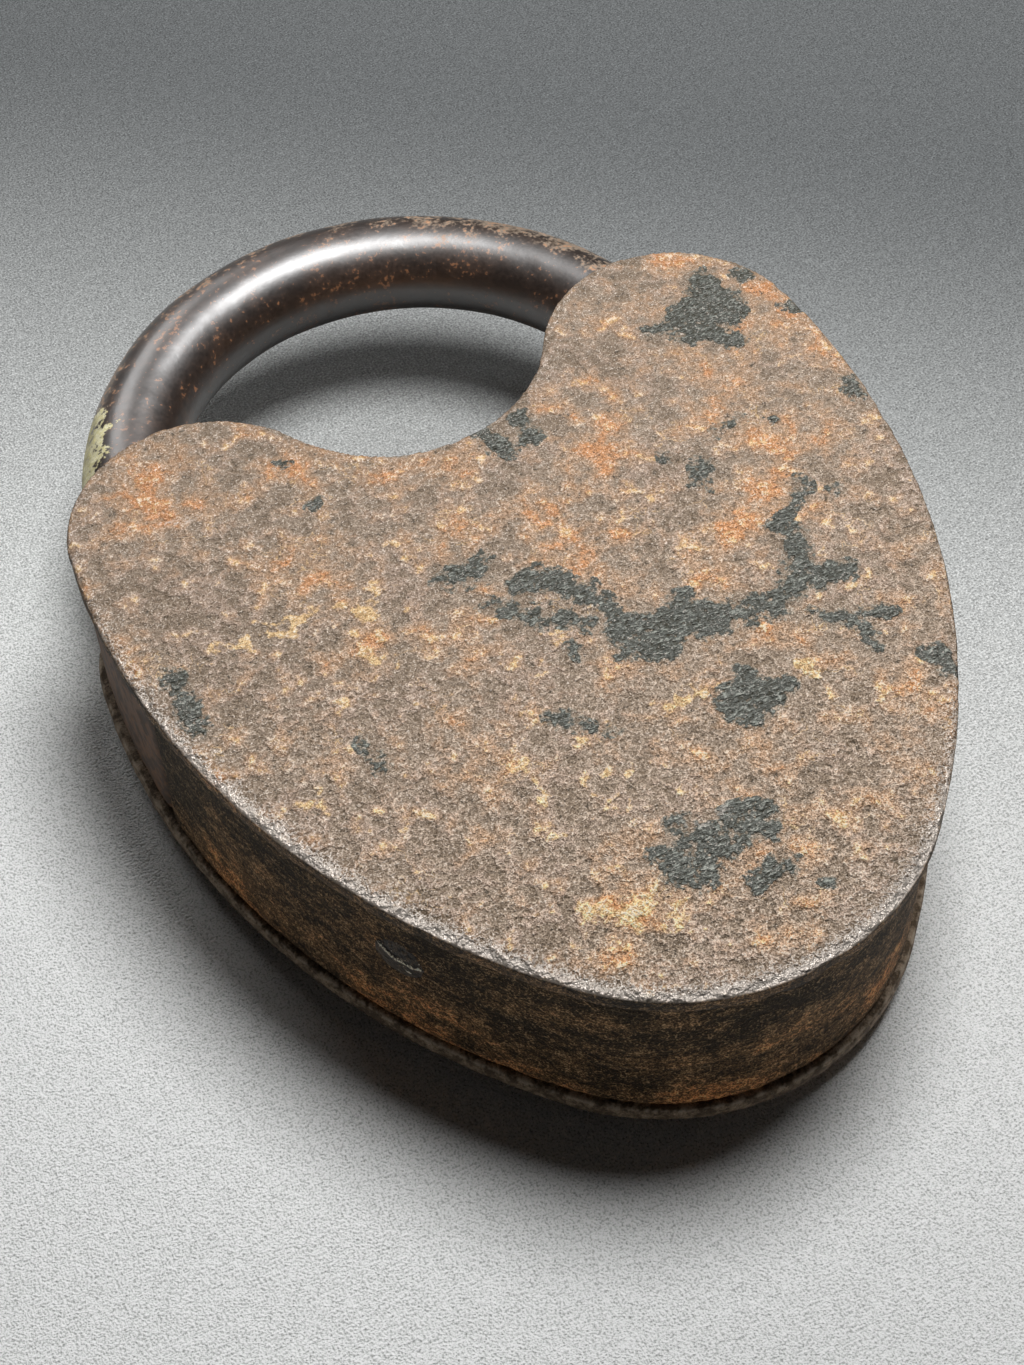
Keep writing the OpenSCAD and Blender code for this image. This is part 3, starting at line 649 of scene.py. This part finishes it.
f = Finish("rusted_band")
shade_under_plate, halo, spared = f.marked("shade_under_plate"), f.marked("halo"), f.marked("spared")
colour, height = walled(f, 1.4 - f.along("Z") * 0.12 + halo * 2.0 - spared * 2.8)
scratch = f.between(f.grain(0.3, 2, 33, (12, 12, 0.7)), 2.1, 2.9)
# painted shade: the band's top darkened where the back plate overhangs it
colour = f.shaded(f.blend(colour, tint(178, 156, 124), scratch * 0.3), shade_under_plate * -1.2)
rim_band.data.materials.append(f.surface(colour, 0.75, height, 0.05, Specular_IOR_Level=0.2))
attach(rim_band, "case")
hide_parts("rim_band")

# ---------------------------------------------------------------- shackle
# A forged iron bow with a flat heel that turns on its rivet and a notched toe for the bolt.
# Handling kept it smooth, nearly black and half glossy, with rust in its low spots and a
# splash of old cream paint outside the heel's leg.
SHACKLE_VOXEL = 0.34    # mm
GREASY_DARK = tint(48, 32, 21)
GREASY_BROWN = tint(70, 50, 37)
DRY_RUST = tint(150, 132, 114)
FRESH_RUST = tint(156, 104, 66)
HEEL_RUST = tint(116, 78, 44)
HEEL_DARK = tint(66, 48, 32)
PAINT = tint(222, 216, 180)
OLD_PAINT = tint(186, 178, 134)
shackle = skin("shackle_worn", ["shackle"], SHACKLE_VOXEL)
at, out, pairs = read(shackle)
at = eased(at, pairs, 6)
height = (0.14 * swell(at, 16, 80) + 0.06 * swell(at, 6, 81) + 0.018 * swell(at, 1.6, 82)
          - 0.12 * np.clip(swell(at, 1.5, 83) - 0.62, 0, 1) * np.clip(swell(at, 9, 84) + 0.4, 0, 1))
write(shackle, at + out * height[:, None])
BOW_HEIGHT = 39.3       # mm from the heart's centre height to where the bow's curve begins
BOW_RADIUS = 33         # mm to the middle of the bar
BAR_RADIUS = 5.75       # mm
SPLASH = (-34.4, 59.0, -38.0, 48.5)     # from x, y to x, y in mm on the heart's own axes
bow_low, bow_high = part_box("shackle")
bow_mid = ((bow_low.x + bow_high.x) * 500, HEART_Y + BOW_HEIGHT)
around = np.hypot(at[:, 0] - bow_mid[0], np.maximum(at[:, 1] - bow_mid[1], 0))
heel = np.clip((bow_mid[1] - 3 - at[:, 1]) / 3, 0, 1) * (at[:, 0] < 0)
splash = np.exp(-(stroke(at[:, 0], at[:, 1] - HEART_Y, *SPLASH) / 3.2) ** 2)
note(shackle, "outer", np.clip((around - BOW_RADIUS) / BAR_RADIUS, -1, 1) * (1 - heel))
note(shackle, "heel", heel)
note(shackle, "paint", splash * (at[:, 2] > bow_low.z * 1000 + 2))
# painted shade: darker where the bar faces down, and without the grease's shine there
note(shackle, "under", np.clip(0.45 - out[:, 2] * 1.5, 0, 1) * (1 - heel))


def handled():
    """Iron rubbed smooth and dark by hands and half glossy with old grease, dry and rusty on its
    outer side, brown on the heel inside the case, and splashed with paint. Its underside is darkened
    with painted shade."""
    f = Finish("handled_bar")
    outer, heel, paint, under = (f.marked(m) for m in ("outer", "heel", "paint", "under"))
    broad = f.grain(7, 3, 3)
    mottle = f.grain(2.2, 3, 9)
    speck = f.grain(0.55, 2, 15)
    colour = f.blend(GREASY_DARK, GREASY_BROWN, f.between(broad, -1.0, 1.0))
    rust = f.between(outer * 3.4 + broad * 0.6 + mottle * 0.6 + speck * 0.5, 1.2, 3.2)
    colour = f.blend(colour, DRY_RUST, rust * 0.9)
    fresh = f.between(speck + mottle * 0.6 + broad * 0.4, 1.6, 2.6)
    colour = f.blend(colour, FRESH_RUST, fresh * 0.6)
    colour = f.blend(colour, f.blend(HEEL_RUST, HEEL_DARK, f.between(mottle, -1, 1)), heel)
    dry = f.between(paint * 5.0 + mottle * 0.7 + speck * 0.4, 2.9, 3.5)
    colour = f.blend(colour, f.blend(PAINT, OLD_PAINT, f.between(speck, -0.5, 1)), dry)
    # painted shade on the bar's underside
    colour = f.shaded(colour, mottle * 0.18 + speck * 0.20 - under * 1.6)
    roughness = 0.44 + rust * 0.12 + dry * 0.25 + heel * 0.3 + mottle * 0.02 + speck * 0.03
    height = mottle * 0.5 + speck * 0.3 + dry * 1.5
    greased = (1 - heel) * (1 - dry) * (1 - rust * 0.5) * (1 - under)
    return f.surface(colour, roughness, height, 0.010, IOR=1.6, Coat_Weight=greased, Coat_IOR=2.1,
                     Coat_Roughness=0.38)


shackle.data.materials.append(handled())
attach(shackle, "shackle")
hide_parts("shackle")

# ---------------------------------------------------------------- pins, posts and rivets
# Soft iron pins hold the case together: each was pushed through both plates, and its back end
# hammered down flush, so that rust has closed over it. The lock lies on their domed heads.
PIN_INPUTS = ("Head Radius", "Head Height", "Shank Radius", "Length",
              "Collar Radius", "Collar Start", "Collar End")

CLOSED_TIP = 1e-6       # metres, the smallest radius of a dome
DINTS_PER_METRE = 450.0
DINT_DEPTH = 0.00035    # metres


def pin_tree():
    """Turns a pin about each point: a domed head below it, then a shank with a thicker collar."""
    tree = bpy.data.node_groups.new("turned_pins", "GeometryNodeTree")
    net = Net(tree)
    tree.interface.new_socket("Geometry", in_out="INPUT", socket_type="NodeSocketGeometry")
    for name in PIN_INPUTS:
        tree.interface.new_socket(name, in_out="INPUT", socket_type="NodeSocketFloat")
    tree.interface.new_socket("Material", in_out="INPUT", socket_type="NodeSocketMaterial")
    tree.interface.new_socket("Geometry", in_out="OUTPUT", socket_type="NodeSocketGeometry")
    given = tree.nodes.new("NodeGroupInput")
    spots, head_r, head_h, shank_r, length, collar_r, collar_a, collar_b, finish = (
        Wire(net, socket) for socket in list(given.outputs)[:9])
    start = net.node("ShaderNodeCombineXYZ", {}, {"Z": 0 - head_h})
    end = net.node("ShaderNodeCombineXYZ", {}, {"Z": length})
    line = net.node("GeometryNodeCurvePrimitiveLine", {}, {"Start": start, "End": end})
    line = net.node("GeometryNodeResampleCurve", {}, {"Curve": line, "Count": 150})
    place = net.node("GeometryNodeInputPosition")
    z = net.node("ShaderNodeSeparateXYZ", {}, {"Vector": place}, "Z")
    share = net.node("ShaderNodeMath", {"operation": "DIVIDE", "use_clamp": True},
                     {0: z + head_h, 1: head_h})
    # the dome's radius at a share of its height, close to a circle's arc
    arc = share * (2 - share) * 0.9 + share * 0.1
    dome = head_r * net.node("ShaderNodeMath", {"operation": "SQRT"}, {0: arc})
    below = net.node("ShaderNodeMath", {"operation": "LESS_THAN"}, {0: z, 1: 0.0})
    past = net.node("ShaderNodeMath", {"operation": "GREATER_THAN"}, {0: z, 1: collar_a})
    short = net.node("ShaderNodeMath", {"operation": "LESS_THAN"}, {0: z, 1: collar_b})
    shank = shank_r + past * short * (collar_r - shank_r)
    radius = below * dome + (1 - below) * shank
    ring = net.node("GeometryNodeCurvePrimitiveCircle", {}, {"Resolution": 32, "Radius": 1.0})
    pin = net.node("GeometryNodeCurveToMesh", {}, {
        "Curve": line, "Profile Curve": ring, "Scale": radius + CLOSED_TIP, "Fill Caps": True})
    many = net.node("GeometryNodeInstanceOnPoints", {}, {"Points": spots, "Instance": pin})
    many = net.node("GeometryNodeRealizeInstances", {}, {"Geometry": many})
    rough = net.node("ShaderNodeTexNoise", {}, {"Vector": place, "Scale": DINTS_PER_METRE, "Detail": 2.0},
                     "Color")
    rough = net.node("ShaderNodeVectorMath", {"operation": "SUBTRACT"}, {0: rough, 1: (0.5, 0.5, 0.5)})
    rough = net.node("ShaderNodeVectorMath", {"operation": "SCALE"}, {0: rough, "Scale": DINT_DEPTH})
    many = net.node("GeometryNodeSetPosition", {}, {"Geometry": many, "Offset": rough})
    many = net.node("GeometryNodeSetShadeSmooth", {}, {"Geometry": many, "Shade Smooth": True})
    many = net.node("GeometryNodeSetMaterial", {}, {"Geometry": many, "Material": finish})
    net.node("NodeGroupOutput", {}, {"Geometry": many})
    return tree


turned_pins = pin_tree()


def pins(name, node, z, finish, head, shank, length, collar=(0.0, 0.0, 0.0)):
    """Pins at the middle of each solid of a CAD node. z is the height of the head's flat side in
    metres; head is its radius and height, collar its radius, start and end, all in mm."""
    mesh = bpy.data.meshes.new(name)
    spots = [((low.x + high.x) / 2, (low.y + high.y) / 2, z) for low, high in middles(node)]
    mesh.from_pydata(spots, [], [])
    piece = bpy.data.objects.new(name, mesh)
    bpy.context.scene.collection.objects.link(piece)
    turned = piece.modifiers.new("pins", "NODES")
    turned.node_group = turned_pins
    sizes = [s / 1000 for s in (*head, shank, length, *collar)]
    values = {"Material": finish, **dict(zip(PIN_INPUTS, sizes))}
    for socket in turned_pins.interface.items_tree:
        if socket.in_out == "INPUT" and socket.name in values:
            turned[socket.identifier] = values[socket.name]
    settled(piece)
    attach(piece, "case")
    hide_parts(node)


def hammered(name, rust, iron, depth=0.03, roughness=0.5, metallic=0.2):
    """Hammered or filed iron under a thin broken coat of rust."""
    f = Finish(name)
    broad = f.grain(4, 3, 2)
    speck = f.grain(0.7, 2, 12)
    fine = f.grain(0.25, 1, 22)
    colour = f.blend(iron, rust, f.between(broad + speck * 0.7, -0.8, 1.2))
    colour = f.blend(colour, tint(150, 106, 70), f.between(speck + fine * 0.5, 1.2, 2.2) * 0.6)
    colour = f.blend(colour, tint(24, 20, 17), f.between(speck, -1.3, -2.2) * 0.8)
    colour = f.shaded(colour, fine * 0.25 + speck * 0.15)
    height = broad * 1.0 + speck * 0.6 + fine * 0.25
    return f.surface(colour, roughness + speck * 0.05, height, depth, metallic=metallic)


head_iron = hammered("hammered_heads", tint(112, 78, 56), tint(72, 60, 52))
case_depth = (plate_high.z - front_low.z) * 1000
SUNK = 0.45             # mm that a flush end stops under the rust that has closed over it
shank_end = case_depth - SUNK
plate_t = (plate_high.z - plate_low.z) * 1000

HEAD_HEIGHT = 2.6       # mm

pins("heel_rivet_hammered", "heel_rivet", front_low.z, head_iron, (4.8, HEAD_HEIGHT), 3.0, shank_end)
pins("case_posts_hammered", "case_posts", front_low.z, head_iron, (3.3, HEAD_HEIGHT), 1.9, shank_end,
     (2.5, plate_t, case_depth - plate_t))

# ---------------------------------------------------------------- toe stop and key pin
# Two pins without heads: one stops the shackle's toe, the other is the post that the hollow key
# slides on and ends just inside the keyhole.
inner_iron = hammered("inner_iron", tint(104, 74, 54), tint(78, 72, 66), 0.015, 0.45, 0.4)
WORN_NOSE = 0.15        # mm
pins("toe_stop_hammered", "toe_stop", front_low.z, inner_iron, (1.9, WORN_NOSE), 1.9, shank_end,
     (3.0, plate_t, case_depth - plate_t))
KEY_PIN_NOSE = 0.4      # mm
pin_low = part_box("key_pin")[0].z
pins("key_pin_turned", "key_pin", pin_low + KEY_PIN_NOSE / 1000, inner_iron, (2.4, KEY_PIN_NOSE), 2.1,
     (plate_high.z - pin_low) * 1000 - SUNK - KEY_PIN_NOSE,
     (2.4, -1.0, (plate_low.z - pin_low) * 1000 - KEY_PIN_NOSE))

# ---------------------------------------------------------------- wards
# Two bent strips that stand round the key's post and pass only a key with matching cuts.
for node in ("back_ward", "front_ward"):
    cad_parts[node].data.materials.clear()
    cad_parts[node].data.materials.append(inner_iron)

# ---------------------------------------------------------------- bolt, stud and strap
# The bolt is filed from iron bar. It slides on the back plate under a washer on its stud and
# under a bent strap with two rivets.
bolt_iron = hammered("filed_bolt", tint(98, 70, 50), tint(88, 82, 76), 0.012, 0.4, 0.5)
for node in ("bolt", "stud_washer", "bolt_strap"):
    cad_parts[node].data.materials.clear()
    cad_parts[node].data.materials.append(bolt_iron)
SMALL_HEAD = 1.0        # mm high
for node, radius, shank in (("bolt_stud", 2.3, 1.5), ("strap_rivets", 2.0, 1.2)):
    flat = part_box(node)[0].z + SMALL_HEAD / 1000
    pins(node + "_hammered", node, flat, inner_iron, (radius, SMALL_HEAD), shank,
         (plate_high.z - flat) * 1000 - SUNK)

# ---------------------------------------------------------------- spring
# A bent steel leaf on the left wall rubs on the bolt. Its rivet comes through the wall, where
# the flat head has worn to a dark button with a crease across it.
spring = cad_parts["bolt_spring"]
spring.data.materials.clear()
blued = hammered("blued_spring", tint(84, 58, 44), tint(58, 60, 66), 0.008, 0.35, 0.7)
spring.data.materials.append(blued)
spring_rivet = skin("spring_rivet_worn", ["spring_rivet"], 0.12)
at, out, pairs = read(spring_rivet)
at = eased(at, pairs, 3)
outward = np.array((button_mid[0], button_mid[1] - HEART_Y, 0))
outward /= np.linalg.norm(outward)
beside = (at - button_mid) @ np.cross((0, 0, 1), outward)
above = at[:, 2] - button_mid[2]
# a slanting crease, and a nub beside it
crease = np.exp(-((above - 0.7 + 0.30 * beside) / 0.28) ** 2)
crease += 0.7 * np.exp(-((above + 0.9) ** 2 + (beside - 1.0) ** 2) / 0.25)
height = 0.10 * swell(at, 1.4, 90) + 0.06 * swell(at, 0.6, 91) + 0.16 * crease - 0.12
shown = np.clip(out @ outward, 0, 1)
write(spring_rivet, at + out * (height * shown)[:, None])
note(spring_rivet, "crease", crease * shown)
f = Finish("worn_button")
crease = f.marked("crease")
speck, fine = f.grain(0.6, 2, 12), f.grain(0.22, 1, 22)
colour = f.blend(tint(40, 32, 24), tint(84, 68, 50), f.between(speck, -1, 1.6))
colour = f.blend(colour, tint(238, 226, 202), f.between(crease * 2 + speck * 0.3 + fine * 0.3, 0.9, 1.7))
colour = f.shaded(colour, fine * 0.3)
button = f.surface(colour, 0.5, speck * 0.6 + fine * 0.3, 0.05, Specular_IOR_Level=0.4)
spring_rivet.data.materials.append(button)
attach(spring_rivet, "case")
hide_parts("spring_rivet")

# ---------------------------------------------------------------- keyhole cover
# A small drop of sheet iron swings on its own rivet, with a washer inside the case.
cover = skin("keyhole_cover_rusted", ["keyhole_cover"], 0.2)
at, out, pairs = read(cover)
at = eased(at, pairs, 3)
write(cover, at + out * (0.04 * swell(at, 5, 95) + 0.02 * swell(at, 1.4, 96) - 0.08)[:, None])
cover_iron = hammered("rusted_cover", tint(124, 84, 58), tint(86, 70, 58), 0.03, 0.55, 0.1)
cover.data.materials.append(cover_iron)
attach(cover, "cover")
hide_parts("keyhole_cover")
cover_rivet = skin("cover_rivet_hammered", ["cover_rivet"], 0.15)
at, out, pairs = read(cover_rivet)
write(cover_rivet, eased(at, pairs, 2) + out * (0.03 * swell(at, 1.5, 97) - 0.04)[:, None])
cover_rivet.data.materials.append(head_iron)
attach(cover_rivet, "case")
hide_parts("cover_rivet")
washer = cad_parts["cover_washer"]
washer.data.materials.clear()
washer.data.materials.append(inner_iron)
